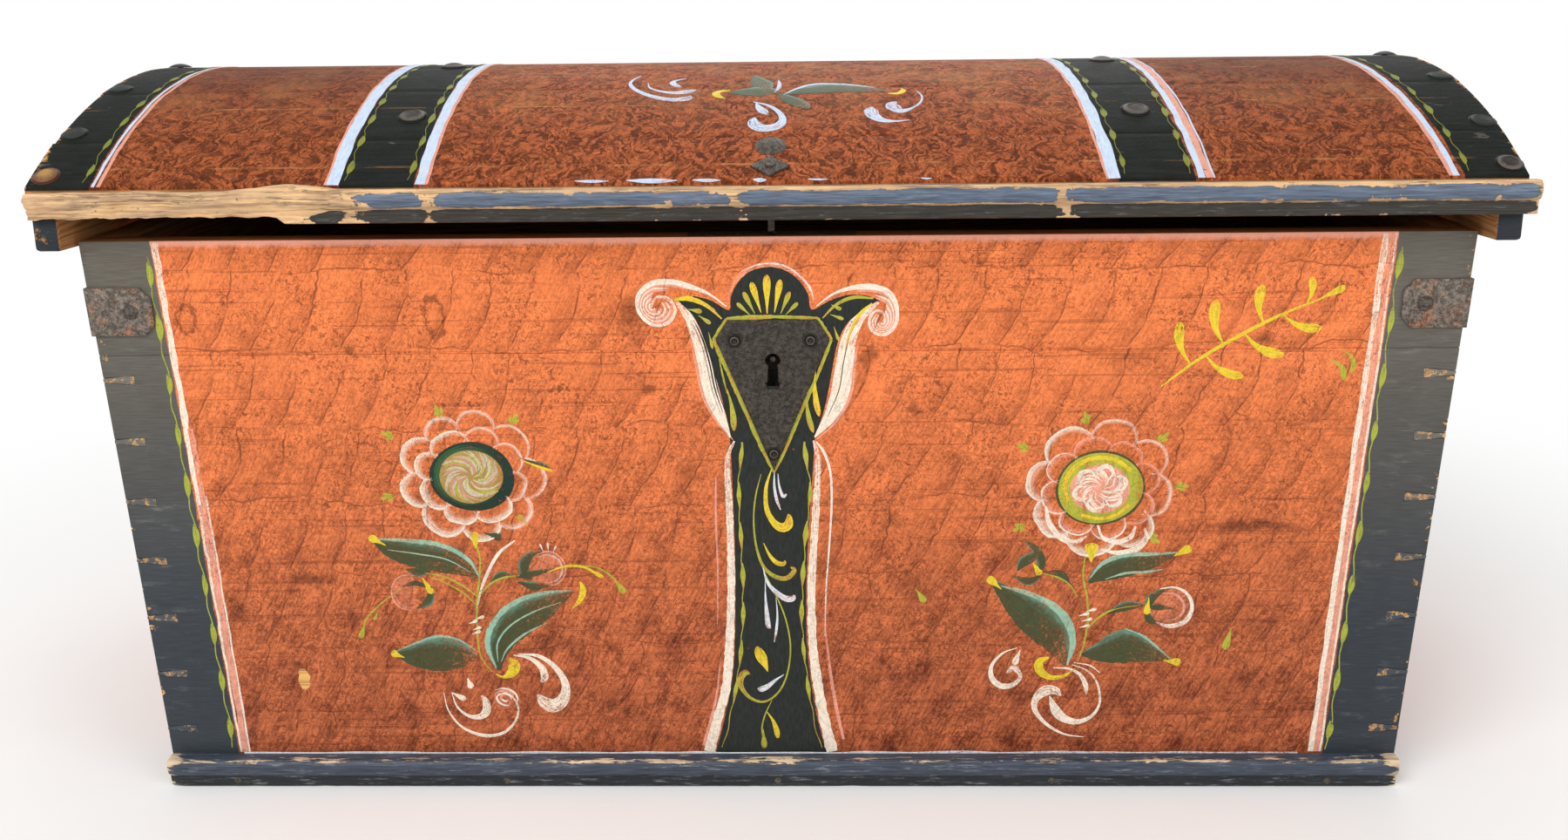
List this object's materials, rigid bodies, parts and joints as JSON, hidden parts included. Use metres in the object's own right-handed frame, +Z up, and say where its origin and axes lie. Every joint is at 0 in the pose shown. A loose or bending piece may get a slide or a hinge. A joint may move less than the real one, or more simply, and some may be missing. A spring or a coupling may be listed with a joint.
{
  "type": "painted trunk",
  "caption": "Dome-topped wooden trunk with dovetailed tapered body, hinged staved lid, iron keyhole plate, sliding lock bolt, corner irons and drop handles, painted with folk flowers.",
  "frame": {"origin": "on the floor, below the middle of the body (halfway between its front and back faces and between its ends)", "axes": "+X to the right seen from the front, +Y from front to back, +Z up"},
  "size_m": [1.178, 0.6066, 0.6141],
  "materials": {
    "painted_front": "orange-red grained paint with folk ornament, worn",
    "painted_ends": "red-brown grained paint, worn",
    "plain_back": "plain aged pine, thinly stained",
    "bare_pine": "bare aged pine",
    "black_moulding": "blue-black paint, worn to raw wood at the edges",
    "painted_lid": "brown-red grained paint with black bands, worn",
    "lid_frame": "aged pine, dark paint outside",
    "wrought_iron": "forged, dark, lightly rusted"
  },
  "bodies": {
    "chest": {"back_lower_board": "plain_back", "back_upper_board": "plain_back", "base_moulding_nails": "wrought_iron", "bottom_plank_1": "bare_pine", "bottom_plank_2": "bare_pine", "bottom_plank_3": "bare_pine", "bottom_plank_nails": "wrought_iron", "corner_iron_nails": "wrought_iron", "front_base_moulding": "black_moulding", "front_lower_board": "painted_front", "front_upper_board": "painted_front", "hinge_leaf_nails": "wrought_iron", "keyhole_plate": "wrought_iron", "keyhole_plate_nails": "wrought_iron", "left_back_corner_iron": "wrought_iron", "left_end_lower_board": "painted_ends", "left_end_upper_board": "painted_ends", "left_front_corner_iron": "wrought_iron", "left_handle_eyes": "wrought_iron", "left_handle_rosettes": "wrought_iron", "left_hinge_leaf": "wrought_iron", "left_hinge_pin": "wrought_iron", "lock_bolt_guides": "wrought_iron", "lock_key_post": "wrought_iron", "lock_plate": "wrought_iron", "lock_plate_nails": "wrought_iron", "lock_spring": "wrought_iron", "right_back_corner_iron": "wrought_iron", "right_end_lower_board": "painted_ends", "right_end_upper_board": "painted_ends", "right_front_corner_iron": "wrought_iron", "right_handle_eyes": "wrought_iron", "right_handle_rosettes": "wrought_iron", "right_hinge_leaf": "wrought_iron", "right_hinge_pin": "wrought_iron"},
    "lid": {"hinge_strap_rivets": "wrought_iron", "left_hinge_strap": "wrought_iron", "lid_back_rail": "lid_frame", "lid_end_nails": "wrought_iron", "lid_front_moulding": "black_moulding", "lid_front_rail": "lid_frame", "lid_left_cheek": "lid_frame", "lid_right_cheek": "lid_frame", "lid_stave_1": "painted_lid", "lid_stave_2": "painted_lid", "lid_stave_3": "painted_lid", "lid_stave_4": "painted_lid", "lid_stave_5": "painted_lid", "lid_stave_6": "painted_lid", "lid_stave_7": "painted_lid", "lock_staple": "wrought_iron", "right_hinge_strap": "wrought_iron", "staple_diamond_rove": "wrought_iron", "staple_round_rove": "wrought_iron"},
    "lock_bolt": {"lock_bolt": "wrought_iron"},
    "left_handle": {"left_handle": "wrought_iron"},
    "right_handle": {"right_handle": "wrought_iron"}
  },
  "joints": [
    {"name": "lid_hinge", "type": "hinge", "parent": "chest", "child": "lid", "pos_m": [0, 0.287, 0.488], "axis": [-1, 0, 0], "range_deg": [-2.1, 100]},
    {"name": "bolt_slide", "type": "slide", "parent": "chest", "child": "lock_bolt", "axis": [1, 0, 0], "range_m": [0, 0.014]},
    {"name": "left_handle_swing", "type": "hinge", "parent": "chest", "child": "left_handle", "pos_m": [-0.56707, 0, 0.3], "axis": [0, 1, 0], "range_deg": [0, 105]},
    {"name": "right_handle_swing", "type": "hinge", "parent": "chest", "child": "right_handle", "pos_m": [0.56707, 0, 0.3], "axis": [0, -1, 0], "range_deg": [0, 105]}
  ]
}
